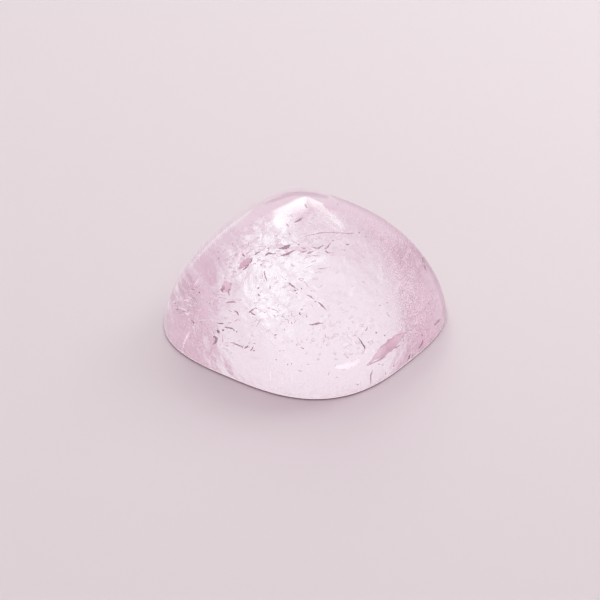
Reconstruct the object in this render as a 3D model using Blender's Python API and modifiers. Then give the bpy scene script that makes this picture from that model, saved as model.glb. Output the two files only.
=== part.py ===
"""Morganite cabochon: one polished pink beryl with a square cushion base and a sugarloaf dome.

Metres, +Z up. The origin is the middle of the flat base, which lies on z = 0,
and the sides of the cushion face along X and Y.
"""
import math

import bmesh
import bpy

MM = 0.001

# Driving dimensions.
BASE_WIDTH = 12.0 * MM          # across the flats of the cushion
HEIGHT = 6.27 * MM              # from the base to the tip of the dome
BASE_BEVEL = 0.14 * MM          # the small chamfer that takes the sharp edge off the base

# Shape of the dome. At height z the stone is a superellipse, drawn in by
# (1 - (z / HEIGHT) ** RISE) ** (1 / DRAW), so its wall stands upright at the base.
SQUARENESS = 2.85               # 2 is a circle, and a larger exponent is a squarer cushion
RISE = 1.63
DRAW = 1.83

# How finely the dome is faceted.
SEGMENTS = 80                   # round the stone
RINGS = 30                      # from the base to the tip
BEVEL_SEGMENTS = 2
BEVEL_FROM = math.radians(60)   # edges sharper than this are bevelled: the base edge alone
SMOOTH_ANGLE = math.radians(30)

NAME = "cabochon"
COLLECTION = "morganite cabochon"

# Polished clear pink beryl.
MORGANITE = (0.86, 0.60, 0.70, 1.0)
BERYL_IOR = 1.58
POLISH_ROUGHNESS = 0.03
CLARITY = 0.9                   # share of the light that the stone lets through


def clear_scene():
    for obj in list(bpy.data.objects):
        bpy.data.objects.remove(obj)


def new_collection(name):
    collection = bpy.data.collections.new(name)
    bpy.context.scene.collection.children.link(collection)
    return collection


def morganite_material():
    material = bpy.data.materials.new("morganite")
    material.use_nodes = True
    shader = material.node_tree.nodes["Principled BSDF"]
    shader.inputs["Base Color"].default_value = MORGANITE
    shader.inputs["Roughness"].default_value = POLISH_ROUGHNESS
    shader.inputs["IOR"].default_value = BERYL_IOR
    shader.inputs["Transmission Weight"].default_value = CLARITY
    return material


def cushion_radius(angle):
    """Distance from the axis to the edge of the base, in the direction of angle."""
    corner_sum = abs(math.cos(angle)) ** SQUARENESS + abs(math.sin(angle)) ** SQUARENESS
    return 0.5 * BASE_WIDTH * corner_sum ** (-1 / SQUARENESS)


def on_dome(point):
    """Carries a point of the upper unit sphere to the dome, ring by ring."""
    latitude = math.asin(max(0.0, min(1.0, point.z)))
    height = HEIGHT * math.sin(latitude) ** (2 / RISE)
    share = math.cos(latitude) ** (2 / DRAW)
    angle = math.atan2(point.y, point.x)
    reach = share * cushion_radius(angle)
    return reach * math.cos(angle), reach * math.sin(angle), height


def half_sphere(bm):
    """The upper half of a unit sphere, closed by one flat face at the equator."""
    bmesh.ops.create_uvsphere(bm, u_segments=SEGMENTS, v_segments=2 * RINGS, radius=1.0)
    half_ring = 0.5 / RINGS
    below = [v for v in bm.verts if v.co.z < -half_ring]
    bmesh.ops.delete(bm, geom=below, context="VERTS")
    rim = [e for e in bm.edges if e.is_boundary]
    bmesh.ops.edgeloop_fill(bm, edges=rim)


def dome_mesh():
    bm = bmesh.new()
    half_sphere(bm)
    tip = max(bm.verts, key=lambda v: v.co.z)
    for vert in bm.verts:
        if vert is tip:
            vert.co = (0.0, 0.0, HEIGHT)
        else:
            vert.co = on_dome(vert.co)
    bmesh.ops.recalc_face_normals(bm, faces=bm.faces)
    mesh = bpy.data.meshes.new(NAME)
    bm.to_mesh(mesh)
    bm.free()
    mesh.shade_smooth()
    mesh.set_sharp_from_angle(angle=SMOOTH_ANGLE)
    return mesh


def add_bevel(obj):
    bevel = obj.modifiers.new("base edge", "BEVEL")
    bevel.width = BASE_BEVEL
    bevel.segments = BEVEL_SEGMENTS
    bevel.limit_method = "ANGLE"
    bevel.angle_limit = BEVEL_FROM


def main():
    clear_scene()
    collection = new_collection(COLLECTION)
    stone = bpy.data.objects.new(NAME, dome_mesh())
    collection.objects.link(stone)
    stone.data.materials.append(morganite_material())
    add_bevel(stone)


main()
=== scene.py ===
"""Looks of the morganite cabochon: a clear pink stone with natural inclusions on a pale floor."""

import math
import random

import bmesh
import bpy
import numpy as np
from mathutils import Matrix, Vector


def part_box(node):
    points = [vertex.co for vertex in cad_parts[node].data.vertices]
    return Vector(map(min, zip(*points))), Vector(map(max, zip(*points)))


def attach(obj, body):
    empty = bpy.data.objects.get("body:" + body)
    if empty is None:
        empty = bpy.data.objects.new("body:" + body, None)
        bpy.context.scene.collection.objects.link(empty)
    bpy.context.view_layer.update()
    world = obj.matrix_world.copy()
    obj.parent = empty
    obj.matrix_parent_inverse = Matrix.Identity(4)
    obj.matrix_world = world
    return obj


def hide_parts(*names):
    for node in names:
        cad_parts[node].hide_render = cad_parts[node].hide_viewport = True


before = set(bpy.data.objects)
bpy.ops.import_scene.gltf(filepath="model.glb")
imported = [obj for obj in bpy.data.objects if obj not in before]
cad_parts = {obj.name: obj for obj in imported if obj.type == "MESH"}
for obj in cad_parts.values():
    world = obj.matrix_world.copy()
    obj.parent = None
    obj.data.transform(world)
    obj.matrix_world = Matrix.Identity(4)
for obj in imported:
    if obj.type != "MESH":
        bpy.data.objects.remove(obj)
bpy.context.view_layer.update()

MM = 0.001

# The stone: its height comes from the frame, its width and its roundness are those of the solid.
# At height z it is a superellipse, drawn in by (1 - (z / HEIGHT) ** RISE) ** (1 / DRAW).
NODE = "cabochon"
STONE_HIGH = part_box(NODE)[1]
HALF_WIDTH = 6.0 * MM
HEIGHT = STONE_HIGH.z
SQUARENESS = 2.85               # exponent of the superellipse
RISE = 1.63
DRAW = 1.83
EDGE_ROUND = 0.12 * MM          # rounding of the edge between dome and base
CONTACT_SHADE_HEIGHT = 0.055 * MM        # height of the band of painted contact shade along the base edge
EDGE_HIGHLIGHT_TOP = 0.1 * MM          # top of the thin band of painted highlight above it
RINGS = 128                     # from the tip to the base edge
# Its material slots, in this order.
DOME_SLOT, BASE_SLOT, CONTACT_SHADE_SLOT, EDGE_HIGHLIGHT_SLOT = range(4)

# The photo's camera: an image of 600 x 600 pixels, looking down on the stone.
IMAGE_SIDE = 600
VIEW_AZIMUTH = math.radians(36.02)
VIEW_ELEVATION = math.radians(34.06)
PIXELS_PER_MM = 21.38
CAMERA_DISTANCE = 233.9 * MM
SENSOR = 36.0                   # millimetres
CLIP_NEAR = 0.01                # metres
CLIP_FAR = 20.0
BASE_CENTRE_PX = (305.3, 318.9)
SEARCH_STEPS = 160              # along a line of sight, to find where it meets the dome
SEARCH_HALVINGS = 24
BOUNCES = 40                    # light turns many times inside the stone

# Beryl.
BERYL_IOR = 1.58
BERYL_TINT = (1.0, 0.955, 0.985, 1.0)
ABSORB_COLOUR = (0.93, 0.08, 0.54, 1.0)
ABSORB_DENSITY = 5.0            # per metre
BASE_ROUGH = 0.28               # the sawn base is satin, the dome is polished
BASE_BUMP = 0.15 * MM           # height of its saw marks
BASE_GRAIN = 1.4                # marks per millimetre, across them
BASE_STRETCH = 2.0              # how much longer they are than wide
POLISH_BUMP = 0.012 * MM        # the dome is very slightly wavy
POLISH_GRAIN = 1.2
RELIEF_DETAIL = 5.0

# The bands along the base edge: painted contact shade where the stone meets the floor, and a glowing
# painted highlight above it.
CONTACT_SHADE_COLOUR = (0.38, 0.20, 0.25, 1.0)
EDGE_HIGHLIGHT_COLOUR = (1.0, 0.94, 0.97, 1.0)
EDGE_HIGHLIGHT_GLOW = 0.3
BAND_ROUGH = 0.5

# The floor.
FLOOR_SIZE = 3.0                # metres
FLOOR_GAP = 0.01 * MM           # between the paper and the base
FLOOR_COLOUR = (0.714, 0.656, 0.671, 1.0)
FLOOR_ROUGH = 0.9
FLOOR_SHINE = 0.2
FLOOR_GLOW = 0.28               # painted light: a glow on the paper under the stone, for the light that the dome gathers there
FLOOR_GLOW_COLOUR = (1.0, 0.985, 0.99, 1.0)
FLOOR_GLOW_FADE = (0.92, 0.97)  # where the glow fades out, as shares of the stone's half width

# A soft lamp for the floor and its shadows: its direction in degrees, its size and distance in metres.
FILL_AZIMUTH = 50
FILL_ELEVATION = 38
FILL_SIZE = 0.055
FILL_DISTANCE = 0.11
FILL_RADIANCE = 4.2
FILL_COLOUR = (0.95, 1.0, 0.99)

# The light tent.
TENT_SHADE = (0.762, 0.665, 0.717)
# Its brighter and darker parts: azimuth and elevation in degrees, the cosine of the half angle,
# and the light that each adds.
TENT_LOBES = (
    (-8, 25, 0.5, (0.165, 0.225, 0.2)),
    (16, 48, 0.96, (0.35, 0.54, 0.46)),
    (30, 80, 0.8, (-0.06, -0.08, -0.07)),
    (58, 52, 0.85, (-0.05, -0.09, -0.07)),
    (-57, 42, 0.88, (-0.05, -0.07, -0.06)),
    (75, 8, 0.85, (0.14, 0.19, 0.17)),
    (-104, 15, 0.8, (-0.05, -0.10, -0.08)),
    (62, 28, 0.95, (-0.13, -0.24, -0.19)),
    (18, 31, 0.98, (-0.10, -0.15, -0.13)),
    (38, 8, 0.96, (0.09, 0.16, 0.14)),
)
# Two lit cards behind the stone, by the outlines of their images in the polish.
CARD_LEFT_PX = ((307, 197), (299, 199), (289, 204), (274, 211), (273, 217),
                (275, 225), (283, 229), (288, 224), (296, 216), (307, 210))
CARD_RIGHT_PX = ((307, 197), (313, 199), (322, 205.5), (331, 213.5), (338, 221), (343, 230),
                 (336, 231), (327, 223), (317, 214), (308, 206))
CARD_LEFT_STRENGTH = 4.4
CARD_RIGHT_STRENGTH = 3.0
CARD_COLOUR = (0.86, 1.0, 0.94, 1.0)
CARD_DISTANCE = 0.4             # metres
# Each card is a stack, which gives it a soft edge: the size and the brightness of each sheet.
CARD_STACK = ((1.16, 0.3), (1.0, 0.65), (0.84, 1.0))
CARD_GAP = 0.01                 # between two sheets, as a share of the distance

# Strips close behind the stone, which the polish mirrors along its outline. Each runs from one
# direction to another round the image of the stone, in degrees, between two insets from the outline
# in pixels. The next value is its distance from the polish over the height above the floor, and the
# last is its light.
RIM_MIDDLE_PX = (305, 300)
RIM_REACH_PX = (90.0, 170.0)    # the outline lies between these, from the middle
RIM_HALVINGS = 12
RIM_STEPS = 20
RIM_TAPER = 0.8                 # how much narrower a strip is at its ends
RIMS = (
    (128, 158, 4.4, 6.2, 0.7, (1.2, 1.4, 1.32)),
    (120, 164, 3.8, 7.6, 0.8, (0.98, 1.12, 1.07)),
    (-14, 70, 0.7, 3.4, 0.7, (0.55, 0.44, 0.50)),
    (-16, 76, 0.5, 6.0, 0.8, (0.66, 0.54, 0.60)),
    (83, 96, 3.8, 6.2, 0.7, (0.35, 0.30, 0.34)),
    (93, 112, 5.0, 7.6, 0.8, (0.40, 0.34, 0.38)),
    (77, 103, 3.0, 7.6, 0.9, (0.55, 0.48, 0.52)),
)

# Inclusions. A fleck is a row of the pixels that it runs through, each with its width there in pixels.
# A sheet of flecks has three depths in millimetres: how far under the polish it lies at the image's
# middle, and how much deeper it gets over DEPTH_SPAN_PX to the right and over as many pixels down.
DEPTH_SPAN_PX = 100
CREST_DEPTH = (1.3, 0.3, -0.4)
CREST_DARK = (
    ((255, 255, 1.6), (257, 253, 2.4), (259.5, 252, 1.4)),
    ((264.5, 256, 1.2), (266.5, 254.5, 2.6), (269, 253.3, 2.2), (273, 254, 1.2), (277, 253, 0.8)),
    ((267.5, 249, 1.2), (269, 247.5, 1.2)),
    ((278, 248.5, 1.4), (282, 248.5, 2.4), (285, 248, 5), (288, 246.5, 4.6), (290.5, 245, 2)),
    ((280, 256, 1), (284, 255, 2.2), (288, 253.5, 3), (292, 251.5, 2.2), (295, 250, 1.2), (300, 250, 0.9)),
    ((301, 247.5, 1.6), (304, 248.5, 2.6), (306, 248, 1.2)),
    ((301, 251, 1.5), (304, 252, 2.4), (306.5, 250.5, 1.4)),
    ((306.5, 253.5, 1.4), (310, 252.5, 2.8), (313.5, 251.3, 1.6)),
    ((312.5, 246.8, 1.2), (316, 248.3, 2), (319.5, 247.8, 2), (323.5, 245, 1.6)),
    ((324.5, 248.5, 1.2), (327, 247.7, 1.8), (329, 245, 1.6), (331, 243, 1)),
    ((331.5, 240.3, 1.1), (334, 240.7, 1.6)),
    ((325, 251, 1.6), (327, 252, 2.2), (329.5, 252.6, 1)),
    ((345.5, 244.3, 1.2), (347.5, 244.4, 1.9), (350, 244, 1)),
    ((241, 251, 1.1), (243, 254.5, 2), (245, 257, 1.4)),
    ((250.5, 257.5, 1.2), (252, 259.5, 2.6), (250, 263, 2.4)),
    ((249, 264, 1.4), (247, 266.5, 2.4), (243, 270, 1.4)),
    ((298, 244.5, 1.2), (299.5, 244.8, 1.2)),
    ((358.5, 232.5, 1.8), (359.6, 233, 1.8)),
    ((232.3, 243, 1.5), (232.8, 244.6, 1.5)),
    ((218.3, 259.3, 2), (219.5, 257.5, 1.2)),
    ((303, 237.5, 0.8), (308, 235.5, 1.1), (314, 234.2, 1.4), (320, 232.8, 1.1), (330, 232.4, 0.9),
     (338, 232.8, 0.9), (345, 233.2, 1), (350, 233.6, 1.5), (354, 233.2, 0.9)),
)
CREST_GREY = (
    ((234, 256.5, 2), (236, 255, 3.4), (238, 253, 2.2)),
    ((224, 260, 1), (228, 258, 1.3), (232, 256.3, 1)),
    ((231.8, 271, 2), (235.5, 271.8, 2.4), (237, 272, 1)),
    ((246, 254, 0.9), (250, 251.3, 1.2)),
    ((254, 264.3, 1.1), (256, 263, 1.3)),
    ((258.6, 259.3, 1.3), (260.3, 259.3, 1.3)),
    ((260, 264, 3), (262.5, 265.5, 2.6)),
    ((303.5, 259.3, 0.8), (308, 256.8, 1)),
    ((312, 255.3, 0.8), (315.5, 255.7, 1.4), (318.6, 255.5, 0.8)),
    ((291, 240, 0.7), (295, 242.5, 0.9), (298.5, 245, 0.9)),
    ((336, 239.7, 0.8), (342, 239.3, 0.8)),
    ((234, 246, 1), (237, 249.5, 1.2)),
    ((217.5, 250.5, 1.5), (218.5, 253, 1.8)),
    ((229, 266.5, 1), (231.5, 263, 1.2)),
    ((365.3, 237, 1.5), (366.7, 236.7, 1.4)),
    ((236.5, 246, 0.8), (238, 238, 0.9)),
    ((249, 240, 0.8), (248, 247, 1.1)),
    ((251, 243.5, 0.8), (253.5, 240.5, 1)),
)
TOP_DEPTH = (0.5, 0.0, 0.0)
TOP_DARK = (
    ((303.3, 199, 1.8), (304, 200.5, 1.8)),
    ((304.5, 203.5, 2.4), (305.5, 205, 2.6), (307, 208, 1.8)),
    ((294.5, 222.4, 1.6), (297.5, 221, 2.3), (300.5, 219.3, 1.9), (303, 217.2, 1.4)),
    ((286, 223.5, 1.2), (287.6, 225, 1.2), (288.5, 227, 0.7)),
    ((289, 233, 1.2), (290.3, 235, 1.4)),
    ((337.3, 205, 1.2), (338.3, 203.5, 1.4)),
)
LEFT_DEPTH = (1.6, 0.9, 0.3)
LEFT_DARK = (
    ((224, 281.5, 1.6), (224.5, 285, 3.2), (223, 288, 3.2), (221.8, 290.5, 4), (223.5, 292.5, 2)),
    ((229.5, 283.3, 1.6), (231.7, 283.8, 1.8)),
    ((230.3, 286, 1.6), (230, 288.5, 3), (228.4, 291, 2.4), (229, 294, 1.8), (230, 295.6, 1.2)),
    ((226, 303, 2.4), (229, 302, 2.2), (233, 302, 1.9), (236, 302.2, 1.3)),
    ((234, 310.5, 0.9), (236.8, 312, 1.7), (238.6, 315.3, 1.6)),
    ((217, 329.8, 2), (218, 331, 3.4), (219.6, 332.6, 1.8)),
    ((222, 330.3, 2.6), (224, 330, 2)),
    ((224.5, 327, 1.3), (228, 327.8, 2), (232.5, 328.4, 1.5), (233.5, 329.3, 1)),
    ((233.3, 330.2, 1.8), (234.5, 330, 1.8)),
    ((236.7, 331, 1.5), (237, 332.3, 1.5)),
    ((213.3, 336.3, 2), (216, 337.5, 4), (216.6, 340, 4), (214.7, 343, 2.6), (212.4, 345, 1.2)),
    ((217, 323, 1.2), (220, 323.6, 1.5), (223.6, 323.6, 1.5)),
    ((199.4, 291.5, 2), (199.8, 293.5, 1.6)),
    ((191.5, 289.4, 1), (194.5, 289.5, 1.2)),
    ((176, 309.7, 1), (178.5, 309.2, 1.4)),
    ((182.5, 311, 1), (184.7, 311.8, 1.2)),
    ((175.3, 302.5, 1.6), (175.8, 303.5, 1.6)),
    ((190.7, 319.5, 1), (192.4, 321, 1.6), (194.4, 324, 1.4)),
    ((209, 303, 1.4), (210.2, 303.3, 1.4)),
)
LEFT_GREY = (
    ((212.5, 293.5, 0.8), (216, 295, 1.2), (221, 294.5, 1.1), (226, 295.6, 0.8)),
    ((227, 309, 1.2), (229.5, 310.6, 1.1), (232.3, 312.3, 1.2)),
    ((228, 323.2, 1.2), (231.3, 322.6, 1.3)),
    ((234, 322, 1.2), (238.5, 318.7, 0.9)),
    ((237.5, 299.8, 1.2), (240, 300.2, 1.4), (242.5, 300, 0.8)),
    ((222.5, 336, 1.2), (222.8, 342, 1.2)),
    ((226.6, 346.6, 1), (228.6, 344.5, 1)),
    ((217, 297, 0.8), (222, 298, 1.1), (226, 298.5, 0.8)),
    ((214, 304, 0.8), (217, 307, 1)),
)
LEFT_PALE = (
    ((194.5, 285.3, 1.8), (196.5, 282.5, 3.4), (198.8, 279.3, 1.4)),
    ((175.6, 297, 1.3), (177.3, 299, 2), (179, 301.2, 1.2)),
    ((180, 296.3, 1), (181.3, 299, 1.5), (183.3, 302, 1)),
    ((184, 300.3, 1.6), (187, 300, 2.2), (189.5, 300.4, 1)),
    ((187, 304.4, 1.6), (190, 305.3, 2), (192.3, 306.6, 1)),
    ((172, 304, 2), (174, 302.5, 3.2), (175, 300.8, 1.4)),
    ((177.5, 307.6, 1), (181, 308.4, 1.7), (184.6, 309.6, 1.7), (187.5, 311, 1)),
    ((184.5, 313.5, 1.4), (188, 314, 3), (190.5, 312, 1.3)),
    ((185.6, 295, 0.8), (189.5, 297.3, 1.3), (193, 299, 0.8)),
    ((196, 300.3, 1), (197, 302, 1.6)),
    ((202, 320.7, 1.4), (204.5, 319.8, 1.8), (207, 319, 1)),
    ((189.3, 331.5, 1.6), (187.3, 335.5, 2.8), (185, 340.5, 2.6), (183.3, 345.5, 2), (182, 350.5, 1.2)),
    ((193.5, 326, 1), (194.4, 330, 1.2), (194.8, 336, 0.8)),
    ((194, 339.6, 0.8), (191.5, 343.5, 1.3)),
    ((203.6, 351.3, 2), (204.3, 352.6, 1.8)),
    ((203.5, 354, 1), (202.3, 358.5, 1.2)),
    ((188.3, 284.6, 1.6), (189, 285.8, 1.8)),
    ((219, 300.6, 1.6), (219.3, 303.3, 2.4), (221, 305, 1)),
)
LEFT_ROSE = (
    ((224.5, 280.5, 2.5), (226, 283, 8), (226.5, 286, 10), (226.5, 289, 8), (226, 292, 3)),
    ((239, 269, 3), (242, 266, 6.5), (245, 263, 8.5), (248.5, 260.5, 7.5), (252, 258, 2.5)),
)
CREST_PALE = (
    ((240.5, 257, 3), (242, 252.5, 3.4), (246.5, 250.5, 2.5), (250, 249.5, 1.2)),
    ((237.8, 264, 2.6), (239.3, 259, 3.2), (239.5, 254.6, 1.5)),
)
CENTRE_DEPTH = (2.2, 0.3, -1.4)
CENTRE_DARK = (
    ((257.6, 288.5, 1.9), (259.3, 287.8, 1.7)),
    ((258, 294, 2), (259, 295, 2.2), (259.8, 296.4, 1.2)),
    ((260, 293, 0.9), (261.5, 291.3, 0.9)),
    ((289, 283, 2.4), (290.5, 284.5, 2.2), (293.4, 286.3, 1.6), (296, 288.6, 0.9), (298.5, 290.2, 1.5)),
    ((293.5, 290.5, 2), (296, 290.3, 1.8)),
    ((301, 288.4, 1.9), (302, 288.7, 1.9)),
    ((296, 293.4, 1.3), (297.8, 293.2, 1.3)),
    ((269.7, 285, 0.9), (270.3, 287.2, 1.6), (269.6, 288.8, 1.2)),
    ((248.8, 312.6, 1.6), (250.6, 311.7, 2.6), (252.5, 309.6, 1.7), (254.5, 308.2, 1.2), (258, 308.6, 0.7)),
    ((250.8, 312.3, 2.2), (253, 313.6, 1.6), (255.8, 315, 0.9)),
    ((268, 308.3, 1.7), (270, 307.6, 1.5)),
    ((273.6, 315.3, 1), (275.2, 316.6, 1.8)),
    ((299.6, 312.3, 1.5), (300, 314.3, 2.2), (301.3, 315, 1.4)),
    ((306.3, 316, 1.6), (306.9, 317, 1.6)),
    ((306, 294.6, 0.8), (309.5, 296, 1.5), (312.5, 297.6, 1.9), (314, 298.8, 0.8)),
    ((314.3, 300.8, 1.6), (316, 302, 1.8)),
    ((317.4, 301.7, 1.3), (320, 303.2, 2.2), (322, 305.5, 2.4), (324.3, 307.7, 1.6), (326.3, 309.6, 0.9)),
    ((309, 324.3, 1.6), (313.5, 324.6, 2.3), (318, 323.4, 2.3), (321, 323.5, 1.2), (324.5, 323.2, 0.7)),
    ((296.6, 344, 1.3), (297, 345.6, 1.3)),
    ((301, 347.3, 1.1), (304, 348.9, 1.5)),
    ((319.7, 330, 1.3), (320.6, 329.8, 1.1)),
    ((264.8, 270.5, 1.2), (264.6, 274, 1.8), (266, 278, 1.9), (267, 282.3, 0.9)),
    ((274.2, 335.4, 1.7), (277, 334.2, 1.3)),
    ((230, 342, 0.9), (234, 343.3, 1.3), (238, 344.9, 1.3), (240.5, 346.5, 1.8), (243, 347.6, 1.9)),
    ((244.3, 348.2, 1.4), (246, 347.2, 2.1), (248.3, 345.3, 1.2)),
    ((253, 346.5, 1.3), (252.4, 348.5, 1.6), (250.4, 350.8, 1.9)),
    ((253, 350.9, 1.9), (255.4, 350, 1.2)),
    ((253.5, 343.4, 1.3), (254.8, 343.8, 1)),
)
CENTRE_GREY = (
    ((262, 272.5, 1), (262.6, 276, 1.1), (263, 279, 1)),
    ((290.5, 264.4, 1), (292, 265, 1.7), (293.8, 265.3, 1)),
    ((317.8, 267.6, 1.4), (319.5, 269, 1.6), (324, 268.3, 0.8), (331, 267, 0.6)),
    ((303.5, 269.6, 0.8), (308, 267, 1), (313.5, 264.7, 0.7)),
    ((285, 279.5, 1.4), (286.3, 279.7, 1.3)),
    ((281, 276, 0.7), (284.6, 279, 0.8)),
    ((304, 281, 1.1), (306.5, 284, 1.1), (308, 287, 0.7)),
    ((253, 317, 0.8), (257, 320, 1), (259.5, 321.6, 0.8)),
    ((260, 320.5, 1), (258.4, 323.5, 1), (256.3, 326.7, 0.9)),
    ((271, 308.6, 1.2), (275.5, 310, 1.2), (278.5, 312.6, 1.2)),
    ((277.3, 306.6, 1.7), (279, 304.3, 1.2)),
    ((264.3, 312, 1.5), (265, 313, 1.3)),
    ((281, 316.5, 1.5), (285, 317.7, 1.2)),
    ((266.5, 331.3, 1.4), (269.5, 330.3, 1.4), (270.5, 328.6, 0.8)),
    ((272.5, 333.2, 1.2), (273, 334.3, 1)),
    ((274.6, 336.8, 1.3), (275.5, 338.5, 1.8)),
    ((284.4, 328.5, 1), (284.4, 330.8, 1.2)),
    ((278.8, 351.3, 1.4), (281, 350.8, 1.2)),
    ((282.5, 350.4, 1.1), (284.5, 350.5, 1)),
    ((275.6, 360, 1.8), (276.6, 359.3, 1.6)),
    ((287, 364.3, 2), (288.3, 364.8, 2)),
    ((291, 364.2, 1.7), (292.3, 363.6, 1.6)),
    ((301.6, 366.3, 1.6), (302.4, 366, 1.4)),
    ((298, 370.3, 1.1), (302.5, 371.7, 1)),
    ((306.5, 364.6, 0.9), (309.5, 364.6, 1)),
    ((291.5, 313, 1.2), (292.3, 317, 1.1)),
    ((294, 315, 1.2), (294.3, 318.5, 1)),
    ((291, 321.5, 1.2), (292.3, 324.6, 1.4)),
    ((295.6, 320.5, 0.8), (294.3, 323.3, 1.2)),
    ((284.6, 319.6, 0.9), (288, 319.6, 1.1), (288.6, 323.8, 1)),
    ((301, 310, 1.6), (303, 309.2, 1.3)),
    ((311.5, 303.5, 1), (312.3, 306.5, 1.2)),
    ((327.6, 375.6, 1.2), (329, 373.4, 1.2), (330.6, 371.4, 0.9)),
    ((336, 377.5, 1), (338.6, 377.4, 1)),
    ((326, 345, 1.6), (327, 345, 1.5)),
)
RIGHT_DEPTH = (1.6, -0.8, -0.5)
RIGHT_DARK = (
    ((358, 337, 0.9), (361, 341.5, 1.6), (363, 345, 1.8), (365, 347, 2.8), (364, 349, 1.6)),
    ((354.5, 335.3, 1), (356.5, 335.8, 0.9)),
    ((365.2, 331, 1.5), (366.6, 329.3, 1.1), (368, 327.3, 0.7)),
    ((375.3, 332.3, 1.7), (377, 333, 1.5)),
    ((384.2, 335, 1.7), (385.4, 336, 1.5)),
    ((366, 366, 0.8), (371, 363.8, 1.4), (376, 361.5, 1.4), (380, 359.6, 2), (383.5, 357.6, 1.9),
     (386, 356, 0.8)),
    ((392.5, 348.4, 0.9), (396, 347.2, 1.6), (400, 345.3, 1.2)),
    ((402, 336, 1.1), (403.6, 339, 1.3), (403, 342.5, 0.7)),
    ((407.3, 348.6, 1.3), (408, 349.6, 1.3)),
    ((422.6, 256.5, 1.2), (423, 260, 1.7), (422.6, 262, 1)),
    ((424, 265, 1.9), (424.7, 267.2, 2), (425.5, 270, 1)),
    ((430.3, 268, 1.5), (431, 269.3, 1.3)),
    ((433.7, 323.5, 2.2), (435.6, 324.3, 3), (437.5, 321.5, 3.2), (440, 319.3, 2)),
    ((428, 303.6, 1.5), (429, 303.2, 1.3)),
    ((410.5, 318.3, 1.7), (411.6, 318, 1.3)),
)
RIGHT_GREY = (
    ((346, 356.6, 1.4), (348.5, 357.6, 1.5)),
    ((345.3, 347.6, 1), (346.6, 346.6, 1)),
    ((361.8, 281, 0.8), (365.2, 283, 1.1)),
    ((379, 305.6, 1.6), (381, 305, 1.3)),
    ((386, 303, 1.3), (389, 302.6, 1)),
    ((362.5, 325, 1.3), (363.3, 324, 1.2)),
    ((418, 329.3, 1), (419, 328.8, 1)),
    ((426.5, 331.7, 1.3), (427, 332, 1)),
    ((402.6, 311, 1), (403.6, 312, 1.3)),
    ((386, 312, 0.8), (390, 317, 1)),
)
RIGHT_PALE = (
    ((401, 338, 1.4), (402.2, 339.4, 1.6)),
    ((413.3, 292.6, 1.6), (413.8, 293.6, 1.5)),
)
# The pink wedge, wide in its middle.
RIGHT_ROSE = (
    ((366.5, 365.6, 1.5), (371, 361.5, 3.5), (377, 356.5, 7), (384, 350.5, 11), (390.5, 344.5, 14),
     (396, 339.5, 13), (400.5, 336, 7), (405, 332.7, 3.5), (410.5, 330.6, 1.5)),
)
# Cracks that start at the base edge.
EDGE_DEPTH = (0.12, 0.0, 0.0)
EDGE_DARK = (
    ((410.6, 353.5, 0.8), (409.6, 356.5, 1.9), (407.8, 360.5, 1.2)),
    ((413.8, 353, 0.6), (412.4, 355.5, 1.2), (411.3, 358, 0.8)),
    ((393, 366.3, 1.6), (395, 365.6, 1)),
    ((372.6, 370, 0.8), (371.7, 373, 1.6), (370.6, 376, 1.2), (370.8, 380, 1.1), (370.6, 384, 1.2)),
    ((422.6, 339, 1.2), (422.8, 341.5, 2.2), (421.5, 344.5, 2), (419, 348, 2.2)),
    ((421.6, 333, 1), (422.3, 337, 1.2)),
)
EDGE_GREY = (
    ((385.5, 371.5, 1.2), (386, 375, 1.4)),
    ((378, 364, 1), (380, 364.5, 1.2)),
    ((381.5, 365, 1), (384, 364.8, 1.2)),
    ((356.5, 384.6, 1.4), (359, 384.4, 1.2)),
)
EDGE_PALE = (
    ((411.8, 352.5, 0.6), (410.2, 357.5, 1.1)),
)
# Bright patches, ripples and growth lines: milky, and brightened by a painted glow.
BRIGHT_DEPTH = (1.3, -0.3, -0.6)
BRIGHT = (
    ((334, 367.5, 3), (339, 367, 8), (346, 365.5, 10), (353, 363.5, 9), (359, 360, 6), (362, 357, 2)),
    ((337, 367.5, 2), (344, 366.5, 6), (351, 365, 5), (356, 362.5, 2)),
    ((352, 340, 1.2), (354, 343, 1.8), (357, 346, 1.2)),
    ((341, 345, 1.2), (345, 344, 1.6), (349, 345, 1)),
    ((346, 350, 1), (350, 352, 1.8), (355, 352, 1)),
    ((367, 341, 1.2), (370, 339, 1.8), (374, 340, 1)),
    ((360, 335, 1), (362, 331, 1.8), (363, 327, 1)),
    ((356, 330, 1), (357, 326, 1.6), (359, 322, 1)),
    ((366, 326, 1.2), (369, 323, 1.6)),
    ((364, 354, 1.2), (366, 351, 2), (368, 348, 1)),
    ((352, 333, 1.2), (348, 336, 1.6)),
    ((375, 348, 1), (372, 352, 1.6)),
    ((401, 337, 1.5), (402.5, 340, 2)),
    ((282, 375, 0.8), (282, 384, 1.1)),
    ((292, 374, 0.8), (292, 384, 1.1)),
    ((270, 371, 0.8), (270.5, 382, 1)),
    ((286, 362, 0.7), (286, 372, 0.9)),
    ((232, 267, 0.8), (236, 265, 1.4), (239, 263, 1)),
    ((236.5, 263, 1.4), (239, 258, 3.4), (240.5, 252.5, 3), (241, 249, 1)),
    ((243, 256.5, 1.5), (246.5, 252.3, 3.6), (250.5, 250.5, 2.4)),
    ((262, 252, 1), (267, 258, 2.4), (272, 262, 1.4)),
)
INCLUSION_SEED = 7
# The darker and the lighter shade, the roughness, the shade changes per millimetre, and the glow, which is
# painted light.
DARK_LOOK = (0.34, 0.25, 0.27, 1.0), (0.78, 0.62, 0.67, 1.0), 0.5, 1.2, 0.05
GREY_LOOK = (0.72, 0.62, 0.66, 1.0), (0.99, 0.90, 0.95, 1.0), 0.5, 1.2, 0.08
ROSE_LOOK = (0.80, 0.57, 0.67, 1.0), (0.96, 0.84, 0.90, 1.0), 0.5, 1.5, 0.12
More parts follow.
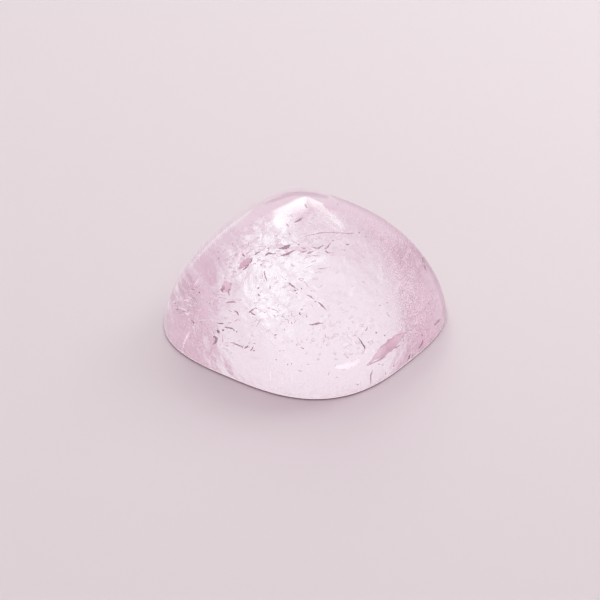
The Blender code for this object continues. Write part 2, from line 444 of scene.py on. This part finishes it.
# The pale feathers are real cracks: their white and their glow are a painted reflection.
PALE_LOOK = (1.0, 0.95, 0.98, 1.0), (1.0, 0.99, 1.0, 1.0), 0.3, 1.5, 0.22
SHADE_DETAIL = 4.0
SHADE_EDGES = (0.35, 0.65)      # the noise values where the darker shade ends and the lighter starts
# The colour, the alpha and the painted glow of what is milky.
BRIGHT_LOOK = (1.0, 0.97, 1.0, 1.0), 0.25, 0.4
HAZE_LOOK = (1.0, 0.96, 0.985, 1.0), 0.28, 0.24
MILKY_ROUGH = 0.6

# The shape of a fleck.
FLECK_SLIMNESS = 0.8            # it looks wider than it is, by its blurred edge
FLECK_FLATNESS = 0.5            # thickness over width
FLECK_SIDES = 8
FLECK_RINGS = (5, 24)           # fewest and most along it
FLECK_RINGS_PER_PX = 1.2
FLECK_BLUNTNESS = 0.45          # how its ends taper: nearer to 0 is blunter
FLECK_END = 0.04                # how much of the taper is cut off at each end
FLECK_SWELL = (0.8, 1.2)        # uneven width
FLECK_WANDER = 0.12             # sideways steps, as a share of the width
FLECK_CHIPS = (0.85, 1.15)      # uneven corners
SHALLOWEST = 0.12               # least depth under the polish, in millimetres
DEEPEST = 0.85                  # most depth, as a share of the way down to the base

# Veils: healed cracks full of tiny clear drops. Each is a pixel at its middle, its depth in
# millimetres, its half width and half height in millimetres, its turn and tip in degrees, and its drops.
VEILS = (
    (190, 300, 1.6, 1.5, 1.0, 30, 60, 110),
    (200, 335, 1.4, 1.2, 1.2, -20, 40, 60),
    (245, 262, 1.8, 1.6, 1.0, 20, 50, 90),
    (300, 250, 1.8, 2.6, 0.6, 0, 70, 110),
    (285, 300, 2.6, 2.4, 1.6, 25, 40, 120),
    (240, 340, 1.2, 1.4, 0.8, 10, 60, 60),
    (358, 345, 1.6, 1.3, 1.2, -40, 30, 110),
    (405, 300, 1.8, 1.6, 1.8, -60, 60, 110),
    (330, 330, 2.0, 2.4, 1.0, 60, 20, 80),
    (320, 215, 0.9, 1.2, 0.5, 0, 30, 40),
)
# Haze: finer flakes in the same kind of rows, so many that they pale what lies behind them.
HAZE = (
    (405, 290, 1.0, 1.6, 2.8, 40, 75, 1100),
    (398, 240, 0.8, 1.6, 1.0, 40, 60, 350),
)
DROP_LENGTH = (0.04, 0.22)      # millimetres
HAZE_LENGTH = (0.06, 0.14)
DROP_SUBDIVISIONS = 2           # of the ball that is flattened to a drop
HAZE_SUBDIVISIONS = 1
DROP_SLIMNESS = (0.25, 0.6)     # width over length
DROP_THINNESS = 0.25            # thickness over width
DROP_IOR = 1.7
DROP_SPREAD = 0.5               # over the crack's half width and half height
DROP_LIFT = 0.06                # off the crack, in millimetres
DROP_SPIN = 0.6                 # most turn within the crack, in radians
DROP_LEAN = 0.35                # out of the crack, in radians
DROP_MARGIN = 0.08              # how far inside the dome a drop stays, as a change of dome_value
DROP_FLOOR = 0.2                # least height above the base, in millimetres

BACK = Vector((math.sin(VIEW_AZIMUTH) * math.cos(VIEW_ELEVATION),
               -math.cos(VIEW_AZIMUTH) * math.cos(VIEW_ELEVATION),
               math.sin(VIEW_ELEVATION)))
RIGHT = Vector((math.cos(VIEW_AZIMUTH), math.sin(VIEW_AZIMUTH), 0.0))
UP = BACK.cross(RIGHT)


def image_offset(px, py):
    """Where a pixel lies in the image plane through the stone, from the image's middle."""
    scale = MM / PIXELS_PER_MM
    half = IMAGE_SIDE / 2
    return RIGHT * ((px - half) * scale) + UP * ((half - py) * scale)


AIM = -image_offset(*BASE_CENTRE_PX)
EYE = AIM + BACK * CAMERA_DISTANCE


def add_camera():
    data = bpy.data.cameras.new("camera")
    data.sensor_width = SENSOR
    data.lens = CAMERA_DISTANCE / MM * PIXELS_PER_MM / IMAGE_SIDE * SENSOR
    data.clip_start = CLIP_NEAR
    data.clip_end = CLIP_FAR
    camera = bpy.data.objects.new("camera", data)
    camera.matrix_world = Matrix.Translation(EYE) @ Matrix((RIGHT, UP, BACK)).transposed().to_4x4()
    bpy.context.scene.collection.objects.link(camera)
    bpy.context.scene.camera = camera


def new_mesh_object(name, verts, faces):
    mesh = bpy.data.meshes.new(name)
    mesh.from_pydata(verts, [], faces)
    mesh.update()
    obj = bpy.data.objects.new(name, mesh)
    bpy.context.scene.collection.objects.link(obj)
    return obj


def dome_vertices():
    """A square grid laid over the dome: grid rings become level lines, so there is no pole."""
    steps = np.arange(-RINGS, RINGS + 1)
    gx, gy = np.meshgrid(steps, steps)
    gx, gy = gx.ravel().astype(float), gy.ravel().astype(float)
    ring = np.maximum(abs(gx), abs(gy))
    safe = np.maximum(ring, 1)
    wide = abs(gx) >= abs(gy)
    quarter = math.pi / 4
    beside_x = quarter * gy / safe * np.sign(gx)
    beside_y = 2 * quarter - quarter * gx / safe * np.sign(gy)
    angle = np.where(wide, beside_x, beside_y)
    angle = np.where(wide & (gx < 0), angle + math.pi, angle)
    angle = np.where(~wide & (gy < 0), angle + math.pi, angle)
    latitude = math.pi / 2 * (1 - ring / RINGS)
    share = np.cos(latitude).clip(0) ** (2 / DRAW)
    z = HEIGHT * np.sin(latitude).clip(0) ** (2 / RISE)
    corner_sum = abs(np.cos(angle)) ** SQUARENESS + abs(np.sin(angle)) ** SQUARENESS
    reach = share * HALF_WIDTH * corner_sum ** (-1 / SQUARENESS)
    low = (1 - z / EDGE_ROUND).clip(0, 1)
    reach = reach - EDGE_ROUND * (1 - np.sqrt(1 - low * low))
    return np.stack([reach * np.cos(angle), reach * np.sin(angle), z], axis=1)


def stone_mesh_object(name):
    """The dome, closed by its flat base, with the material slot of each face set."""
    verts = dome_vertices()
    side = 2 * RINGS + 1
    faces = []
    for row in range(side - 1):
        for col in range(side - 1):
            a = row * side + col
            faces.append([a, a + 1, a + side + 1, a + side])
    rim = list(range(side))
    rim += [r * side + side - 1 for r in range(1, side)]
    rim += [(side - 1) * side + c for c in range(side - 2, -1, -1)]
    rim += [r * side for r in range(side - 2, 0, -1)]
    faces.append(rim[::-1])
    obj = new_mesh_object(name, [tuple(v) for v in verts], faces)
    obj.data.shade_smooth()
    # The lowest faces take the painted contact shade, the next ones the painted highlight.
    for face in obj.data.polygons:
        if face.center.z < CONTACT_SHADE_HEIGHT:
            face.material_index = CONTACT_SHADE_SLOT
        elif face.center.z < EDGE_HIGHLIGHT_TOP:
            face.material_index = EDGE_HIGHLIGHT_SLOT
        else:
            face.material_index = DOME_SLOT
    base = obj.data.polygons[len(faces) - 1]
    base.material_index = BASE_SLOT
    base.use_smooth = False
    return obj


def node_material(name):
    material = bpy.data.materials.new(name)
    material.use_nodes = True
    return material, material.node_tree, material.node_tree.nodes["Principled BSDF"]


def add_relief(tree, shader, height, grain, stretch):
    """Noise relief in the shading: grain is marks per millimetre, stretch is their length over width."""
    coords = tree.nodes.new("ShaderNodeTexCoord")
    place = tree.nodes.new("ShaderNodeMapping")
    place.vector_type = "TEXTURE"
    place.inputs["Rotation"].default_value[2] = VIEW_AZIMUTH
    place.inputs["Scale"].default_value[1] = stretch
    noise = tree.nodes.new("ShaderNodeTexNoise")
    noise.inputs["Scale"].default_value = grain / MM
    noise.inputs["Detail"].default_value = RELIEF_DETAIL
    relief = tree.nodes.new("ShaderNodeBump")
    relief.inputs["Distance"].default_value = height
    tree.links.new(coords.outputs["Object"], place.inputs["Vector"])
    tree.links.new(place.outputs["Vector"], noise.inputs["Vector"])
    tree.links.new(noise.outputs["Fac"], relief.inputs["Height"])
    tree.links.new(relief.outputs["Normal"], shader.inputs["Normal"])


def morganite_material(name, roughness, *relief):
    """Clear pink beryl, which colours the light that passes through it."""
    material, tree, shader = node_material(name)
    add_relief(tree, shader, *relief)
    shader.inputs["Base Color"].default_value = BERYL_TINT
    shader.inputs["Roughness"].default_value = roughness
    shader.inputs["IOR"].default_value = BERYL_IOR
    shader.inputs["Transmission Weight"].default_value = 1.0
    absorb = tree.nodes.new("ShaderNodeVolumeAbsorption")
    absorb.inputs["Color"].default_value = ABSORB_COLOUR
    absorb.inputs["Density"].default_value = ABSORB_DENSITY
    tree.links.new(absorb.outputs["Volume"], tree.nodes["Material Output"].inputs["Volume"])
    return material


def band_material(name, colour, glow):
    """A thin band along the base edge, painted with shade or with a highlight."""
    material, _, shader = node_material(name)
    shader.inputs["Base Color"].default_value = colour
    shader.inputs["Roughness"].default_value = BAND_ROUGH
    shader.inputs["Emission Color"].default_value = colour
    shader.inputs["Emission Strength"].default_value = glow
    return material


def floor_material():
    """Pale paper, with a painted glow under the stone for the light that the dome gathers there."""
    material, tree, shader = node_material("floor")
    coords = tree.nodes.new("ShaderNodeTexCoord")
    reach = tree.nodes.new("ShaderNodeVectorMath")
    reach.operation = "LENGTH"
    tree.links.new(coords.outputs["Object"], reach.inputs[0])
    glow = tree.nodes.new("ShaderNodeMapRange")
    glow.inputs["From Min"].default_value = FLOOR_GLOW_FADE[0] * HALF_WIDTH
    glow.inputs["From Max"].default_value = FLOOR_GLOW_FADE[1] * HALF_WIDTH
    glow.inputs["To Min"].default_value = FLOOR_GLOW
    glow.inputs["To Max"].default_value = 0.0
    tree.links.new(reach.outputs["Value"], glow.inputs["Value"])
    tree.links.new(glow.outputs["Result"], shader.inputs["Emission Strength"])
    shader.inputs["Emission Color"].default_value = FLOOR_GLOW_COLOUR
    shader.inputs["Base Color"].default_value = FLOOR_COLOUR
    shader.inputs["Roughness"].default_value = FLOOR_ROUGH
    shader.inputs["Specular IOR Level"].default_value = FLOOR_SHINE
    return material


def add_floor():
    bpy.ops.mesh.primitive_plane_add(size=FLOOR_SIZE, location=(0, 0, -FLOOR_GAP))
    floor = bpy.context.object
    floor.name = "floor"
    floor.data.materials.append(floor_material())


def direction(azimuth, elevation):
    """A unit vector; azimuth 0 points away from the photo's camera, and 90 to its right."""
    away = math.radians(azimuth)
    rise = math.radians(elevation)
    ahead = Vector((-math.sin(VIEW_AZIMUTH), math.cos(VIEW_AZIMUTH), 0.0))
    level = ahead * math.cos(away) + RIGHT * math.sin(away)
    return level * math.cos(rise) + Vector((0, 0, math.sin(rise)))


def add_world():
    """A light tent with brighter and darker parts."""
    world = bpy.data.worlds.new("studio")
    bpy.context.scene.world = world
    world.use_nodes = True
    tree = world.node_tree
    coords = tree.nodes.new("ShaderNodeTexCoord")
    light = None
    for azimuth, elevation, edge, colour in TENT_LOBES:
        dot = tree.nodes.new("ShaderNodeVectorMath")
        dot.operation = "DOT_PRODUCT"
        dot.inputs[1].default_value = direction(azimuth, elevation)
        tree.links.new(coords.outputs["Generated"], dot.inputs[0])
        ramp = tree.nodes.new("ShaderNodeMapRange")
        ramp.interpolation_type = "SMOOTHSTEP"
        ramp.inputs["From Min"].default_value = edge
        tree.links.new(dot.outputs["Value"], ramp.inputs["Value"])
        lobe = tree.nodes.new("ShaderNodeVectorMath")
        lobe.operation = "MULTIPLY_ADD"
        lobe.inputs[1].default_value = colour
        lobe.inputs[2].default_value = TENT_SHADE
        tree.links.new(ramp.outputs["Result"], lobe.inputs[0])
        if light:
            tree.links.new(light, lobe.inputs[2])
        light = lobe.outputs["Vector"]
    tree.links.new(light, tree.nodes["Background"].inputs["Color"])


def dome_value(point):
    """Below zero inside the dome, above zero outside it."""
    x, y, z = point
    corner_sum = (abs(x) / HALF_WIDTH) ** SQUARENESS + (abs(y) / HALF_WIDTH) ** SQUARENESS
    return corner_sum ** (DRAW / SQUARENESS) + math.copysign(abs(z / HEIGHT) ** RISE, z) - 1


def dome_normal(point):
    """The outward normal of the dome, from how dome_value changes round the point."""
    step = 0.001 * MM
    slope = Vector((0, 0, 0))
    for axis in range(3):
        near, far = Vector(point), Vector(point)
        near[axis] -= step
        far[axis] += step
        slope[axis] = dome_value(far) - dome_value(near)
    return slope.normalized()


def sight_line(px, py):
    """The direction in which the photo's camera sees a pixel."""
    return (image_offset(px, py) + AIM - EYE).normalized()


def surface_point(px, py):
    """Where the line of sight of a pixel meets the dome."""
    line = sight_line(px, py)
    start = CAMERA_DISTANCE - 2 * HALF_WIDTH
    last = start
    for i in range(1, SEARCH_STEPS + 1):
        reach = start + 4 * HALF_WIDTH * i / SEARCH_STEPS
        if dome_value(EYE + line * reach) < 0:
            break
        last = reach
    else:
        raise ValueError(f"pixel {px}, {py} is beside the stone")
    for _ in range(SEARCH_HALVINGS):
        middle = (last + reach) / 2
        if dome_value(EYE + line * middle) < 0:
            reach = middle
        else:
            last = middle
    return EYE + line * reach


def reflected(px, py):
    """The direction that the polish mirrors at a pixel."""
    line = sight_line(px, py)
    normal = dome_normal(surface_point(px, py))
    return line - 2 * line.dot(normal) * normal


def refracted(px, py):
    """The line of sight of a pixel after it has entered the stone, and where it enters."""
    entry = surface_point(px, py)
    normal = dome_normal(entry)
    line = sight_line(px, py)
    cos_in = -line.dot(normal)
    ratio = 1 / BERYL_IOR
    cos_out = math.sqrt(1 - ratio ** 2 * (1 - cos_in ** 2))
    return line * ratio + normal * (ratio * cos_in - cos_out), entry


def inside_point(px, py, depth):
    """The point that a pixel shows at a depth in the stone, and the direction in which it is seen."""
    line, entry = refracted(px, py)
    reach = depth * MM
    if line.z < 0:
        reach = min(reach, DEEPEST * entry.z / -line.z)
    return entry + line * reach, line


def sheet_depth(depth, px, py):
    """How deep a sheet of flecks lies at a pixel, in millimetres."""
    middle, rightward, downward = depth
    half = IMAGE_SIDE / 2
    deep = middle + rightward * (px - half) / DEPTH_SPAN_PX + downward * (py - half) / DEPTH_SPAN_PX
    return max(SHALLOWEST, deep)


def along(row, share):
    """The place at a share of a fleck's row of pixels: x, y, width, and the run of the row there."""
    lengths = [math.dist(a[:2], b[:2]) for a, b in zip(row, row[1:])]
    left = share * sum(lengths)
    for a, b, length in zip(row, row[1:], lengths):
        if left <= length or b is row[-1]:
            part = min(1.0, left / length)
            x, y, width = (p + (q - p) * part for p, q in zip(a, b))
            return x, y, width, (b[0] - a[0]) / length, (b[1] - a[1]) / length
        left -= length


def fleck(row, depth, chance):
    """One closed fleck with pointed ends and an uneven outline: its vertices and faces."""
    length = math.dist(row[0][:2], row[-1][:2])
    fewest, most = FLECK_RINGS
    rings = max(fewest, min(most, int(length * FLECK_RINGS_PER_PX)))
    sides = FLECK_SIDES
    verts, faces = [], []
    for k in range(rings + 1):
        share = k / rings
        px, py, width, run_x, run_y = along(row, share)
        inner_share = FLECK_END + (1 - 2 * FLECK_END) * share
        taper = math.sin(math.pi * inner_share) ** FLECK_BLUNTNESS
        half = 0.5 * width * FLECK_SLIMNESS * taper * chance.uniform(*FLECK_SWELL)
        px += -run_y * chance.uniform(-FLECK_WANDER, FLECK_WANDER) * width
        py += run_x * chance.uniform(-FLECK_WANDER, FLECK_WANDER) * width
        deep = sheet_depth(depth, px, py)
        centre, line = inside_point(px, py, deep)
        side = inside_point(px - run_y * half, py + run_x * half, deep)[0] - centre
        thick = line * (side.length * FLECK_FLATNESS)
        for j in range(sides):
            turn = 2 * math.pi * j / sides
            uneven = chance.uniform(*FLECK_CHIPS)
            verts.append(centre + (side * math.cos(turn) + thick * math.sin(turn)) * uneven)
    for k in range(rings):
        for j in range(sides):
            a, b = k * sides + j, k * sides + (j + 1) % sides
            faces.append((a, b, b + sides, a + sides))
    faces.append(tuple(range(sides))[::-1])
    faces.append(tuple(rings * sides + j for j in range(sides)))
    return verts, faces


def inclusion_piece(name, sheets, material, seed):
    """Joins the flecks of some sheets in one mesh piece that rides in the stone."""
    chance = random.Random(seed)
    verts, faces = [], []
    for depth, rows in sheets:
        for row in rows:
            more, quads = fleck(row, depth, chance)
            first = len(verts)
            verts += more
            faces += [tuple(first + i for i in quad) for quad in quads]
    piece = new_mesh_object(name, verts, faces)
    bm = bmesh.new()
    bm.from_mesh(piece.data)
    bmesh.ops.recalc_face_normals(bm, faces=bm.faces)
    bm.to_mesh(piece.data)
    bm.free()
    piece.data.shade_smooth()
    piece.data.materials.append(material)
    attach(piece, "root")


def unit_ball(subdivisions):
    """A ball of radius 1: an array of its vertices, and its faces."""
    bm = bmesh.new()
    bmesh.ops.create_icosphere(bm, subdivisions=subdivisions, radius=1.0)
    verts = np.array([v.co[:] for v in bm.verts])
    faces = [tuple(v.index for v in f.verts) for f in bm.faces]
    bm.free()
    return verts, faces


def drops_of(veil, length_range, chance, ball):
    """Flat drops strewn over one healed crack, as arrays of points."""
    px, py, depth, half_width, half_height, turn, tip, count = veil
    middle, _ = inside_point(px, py, depth)
    turned = np.array(Matrix.Rotation(VIEW_AZIMUTH + math.radians(turn), 3, "Z")
                      @ Matrix.Rotation(math.radians(tip), 3, "X"))
    drops = []
    for _ in range(count):
        spread = chance.normal(0, DROP_SPREAD, 2) * (half_width * MM, half_height * MM)
        lift = chance.normal(0, DROP_LIFT) * MM
        place = np.array(middle) + turned @ np.array([spread[0], spread[1], lift])
        if dome_value(place) > -DROP_MARGIN or place[2] < DROP_FLOOR * MM:
            continue
        length = 0.5 * MM * chance.uniform(*length_range)
        slim = length * chance.uniform(*DROP_SLIMNESS)
        thin = slim * DROP_THINNESS
        spin = chance.uniform(-DROP_SPIN, DROP_SPIN)
        lean_x, lean_y = chance.normal(0, DROP_LEAN, 2)
        own = Matrix.Rotation(spin, 3, "Z")
        own = own @ Matrix.Rotation(lean_x, 3, "X") @ Matrix.Rotation(lean_y, 3, "Y")
        drops.append(place + (ball * (length, slim, thin)) @ (turned @ np.array(own)).T)
    return drops


def add_veils(name, veils, length_range, subdivisions, material):
    """All the drops of some veils, as one piece that rides in the stone."""
    chance = np.random.default_rng(INCLUSION_SEED)
    ball, ball_faces = unit_ball(subdivisions)
    verts, faces = [], []
    for veil in veils:
        for drop in drops_of(veil, length_range, chance, ball):
            first = len(verts)
            verts += [tuple(v) for v in drop]
            faces += [tuple(first + i for i in face) for face in ball_faces]
    piece = new_mesh_object(name, verts, faces)
    piece.data.shade_smooth()
    piece.data.materials.append(material)
    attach(piece, "root")


def milky_material(name, colour, alpha, glow):
    """Half clear and pale, for what scatters light without hiding what lies behind it; its glow is painted
    light.
    """
    material, _, shader = node_material(name)
    shader.inputs["Base Color"].default_value = colour
    shader.inputs["Roughness"].default_value = MILKY_ROUGH
    shader.inputs["Alpha"].default_value = alpha
    shader.inputs["Emission Color"].default_value = colour
    shader.inputs["Emission Strength"].default_value = glow
    return material


def clear_material(name, ior, roughness):
    """Clear and colourless, for the drops in the veils."""
    material, _, shader = node_material(name)
    shader.inputs["Base Color"].default_value = (1, 1, 1, 1)
    shader.inputs["Roughness"].default_value = roughness
    shader.inputs["IOR"].default_value = ior
    shader.inputs["Transmission Weight"].default_value = 1.0
    return material


def inclusion_material(name, dark, light, roughness, grain, glow):
    """Uneven colour between two shades, with a painted glow for the light that soaks through from behind.
    """
    material, tree, shader = node_material(name)
    coords = tree.nodes.new("ShaderNodeTexCoord")
    noise = tree.nodes.new("ShaderNodeTexNoise")
    noise.inputs["Scale"].default_value = grain / MM
    noise.inputs["Detail"].default_value = SHADE_DETAIL
    tree.links.new(coords.outputs["Object"], noise.inputs["Vector"])
    ramp = tree.nodes.new("ShaderNodeValToRGB")
    ramp.color_ramp.elements[0].position = SHADE_EDGES[0]
    ramp.color_ramp.elements[0].color = dark
    ramp.color_ramp.elements[1].position = SHADE_EDGES[1]
    ramp.color_ramp.elements[1].color = light
    tree.links.new(noise.outputs["Fac"], ramp.inputs["Fac"])
    tree.links.new(ramp.outputs["Color"], shader.inputs["Base Color"])
    shader.inputs["Roughness"].default_value = roughness
    shader.inputs["Emission Color"].default_value = light
    shader.inputs["Emission Strength"].default_value = glow
    return material


def add_inclusions():
    inclusion_piece("dark_flecks", (
        (CREST_DEPTH, CREST_DARK), (TOP_DEPTH, TOP_DARK), (LEFT_DEPTH, LEFT_DARK),
        (CENTRE_DEPTH, CENTRE_DARK), (RIGHT_DEPTH, RIGHT_DARK), (EDGE_DEPTH, EDGE_DARK),
    ), inclusion_material("dark_inclusion", *DARK_LOOK), INCLUSION_SEED)
    inclusion_piece("grey_flecks", (
        (CREST_DEPTH, CREST_GREY), (LEFT_DEPTH, LEFT_GREY), (CENTRE_DEPTH, CENTRE_GREY),
        (RIGHT_DEPTH, RIGHT_GREY), (EDGE_DEPTH, EDGE_GREY),
    ), inclusion_material("grey_inclusion", *GREY_LOOK), INCLUSION_SEED + 1)
    inclusion_piece("rose_patches", (
        (LEFT_DEPTH, LEFT_ROSE), (RIGHT_DEPTH, RIGHT_ROSE),
    ), inclusion_material("rose_inclusion", *ROSE_LOOK), INCLUSION_SEED + 2)
    inclusion_piece("pale_feathers", (
        (CREST_DEPTH, CREST_PALE), (LEFT_DEPTH, LEFT_PALE), (RIGHT_DEPTH, RIGHT_PALE),
        (EDGE_DEPTH, EDGE_PALE),
    ), inclusion_material("pale_inclusion", *PALE_LOOK), INCLUSION_SEED + 3)
    inclusion_piece("bright_ripples", (
        (BRIGHT_DEPTH, BRIGHT),
    ), milky_material("bright_ripple", *BRIGHT_LOOK), INCLUSION_SEED + 4)
    clear = clear_material("clear_drops", DROP_IOR, 0.0)
    add_veils("clear_veils", VEILS, DROP_LENGTH, DROP_SUBDIVISIONS, clear)
    milky = milky_material("haze_flakes", *HAZE_LOOK)
    add_veils("haze", HAZE, HAZE_LENGTH, HAZE_SUBDIVISIONS, milky)


def add_fill():
    """A lamp for the floor and its shadows alone: the polish doesn't mirror it."""
    data = bpy.data.lights.new("fill", "AREA")
    data.shape = "DISK"
    data.size = FILL_SIZE
    data.energy = FILL_RADIANCE * (math.pi * FILL_SIZE / 2) ** 2
    data.color = FILL_COLOUR
    lamp = bpy.data.objects.new("fill", data)
    toward = direction(FILL_AZIMUTH, FILL_ELEVATION)
    lamp.location = toward * FILL_DISTANCE
    lamp.rotation_euler = toward.to_track_quat("Z", "Y").to_euler()
    lamp.visible_camera = False
    lamp.visible_transmission = False
    lamp.visible_glossy = False
    bpy.context.scene.collection.objects.link(lamp)


def emission_material(name, colour, strength):
    material = bpy.data.materials.new(name)
    material.use_nodes = True
    tree = material.node_tree
    tree.nodes.clear()
    glow = tree.nodes.new("ShaderNodeEmission")
    glow.inputs["Color"].default_value = colour
    glow.inputs["Strength"].default_value = strength
    out = tree.nodes.new("ShaderNodeOutputMaterial")
    tree.links.new(glow.outputs["Emission"], out.inputs["Surface"])
    return material


def pixel_inside_outline(angle, inset):
    """The pixel at an inset from the stone's outline, in a direction round the image of the stone."""
    x, y = RIM_MIDDLE_PX
    run_x, run_y = math.cos(math.radians(angle)), -math.sin(math.radians(angle))
    near, far = RIM_REACH_PX
    for _ in range(RIM_HALVINGS):
        middle = (near + far) / 2
        try:
            surface_point(x + run_x * middle, y + run_y * middle)
            near = middle
        except ValueError:
            far = middle
    return x + run_x * (near - inset), y + run_y * (near - inset)


def add_rim(name, start, end, outer, inner, behind, light):
    """A strip close behind the stone, whose mirror image follows the stone's outline."""
    verts = []
    for k in range(RIM_STEPS + 1):
        share = k / RIM_STEPS
        angle = start + (end - start) * share
        narrow = RIM_TAPER * (1 - math.sqrt(math.sin(math.pi * share)))
        for inset in (outer, inner + (outer - inner) * narrow):
            pixel = pixel_inside_outline(angle, inset)
            point = surface_point(*pixel)
            verts.append(point + reflected(*pixel) * behind * point.z)
    faces = [(2 * k, 2 * k + 1, 2 * k + 3, 2 * k + 2) for k in range(RIM_STEPS)]
    rim = new_mesh_object(name, verts, faces)
    rim.data.materials.append(emission_material(name, (*light, 1.0), 1.0))
    rim.visible_camera = False
    rim.visible_transmission = False
    rim.visible_diffuse = False
    rim.visible_shadow = False


def add_card(name, outline_px, strength):
    """A lit card whose mirror image in the polish fills an outline of the photo."""
    rays = [reflected(px, py) for px, py in outline_px]
    facing = sum(rays, Vector()).normalized()
    for level, (size, share) in enumerate(CARD_STACK):
        reach = CARD_DISTANCE * (1 - CARD_GAP * level)
        middle = facing * reach
        corners = [middle.lerp(ray * (reach / ray.dot(facing)), size) for ray in rays]
        card = new_mesh_object(f"{name}_{level}", corners, [list(range(len(corners)))])
        card.data.materials.append(emission_material(card.name, CARD_COLOUR, 1 + share * (strength - 1)))
        card.visible_camera = False
        card.visible_transmission = False


def add_stone():
    stone = stone_mesh_object("stone")
    in_slot_order = (
        morganite_material("morganite_polished", 0.0, POLISH_BUMP, POLISH_GRAIN, 1.0),
        morganite_material("morganite_base", BASE_ROUGH, BASE_BUMP, BASE_GRAIN, BASE_STRETCH),
        # Painted contact shade along the base edge, and a glowing painted highlight above it.
        band_material("morganite_contact_shade", CONTACT_SHADE_COLOUR, 0.0),
        band_material("morganite_edge_highlight", EDGE_HIGHLIGHT_COLOUR, EDGE_HIGHLIGHT_GLOW),
    )
    for material in in_slot_order:
        stone.data.materials.append(material)
    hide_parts(NODE)
    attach(stone, "root")


def set_light_paths():
    """Lets light cross the stone often enough, without the blur that would darken its inside."""
    cycles = bpy.context.scene.cycles
    cycles.max_bounces = BOUNCES
    cycles.glossy_bounces = BOUNCES
    cycles.transmission_bounces = BOUNCES
    cycles.blur_glossy = 0.0


bpy.context.scene.view_settings.view_transform = "Standard"
set_light_paths()
add_camera()
add_world()
add_floor()
add_fill()
add_card("card_left", CARD_LEFT_PX, CARD_LEFT_STRENGTH)
add_card("card_right", CARD_RIGHT_PX, CARD_RIGHT_STRENGTH)
for number, rim in enumerate(RIMS):
    add_rim(f"rim_{number}", *rim)
add_stone()
add_inclusions()
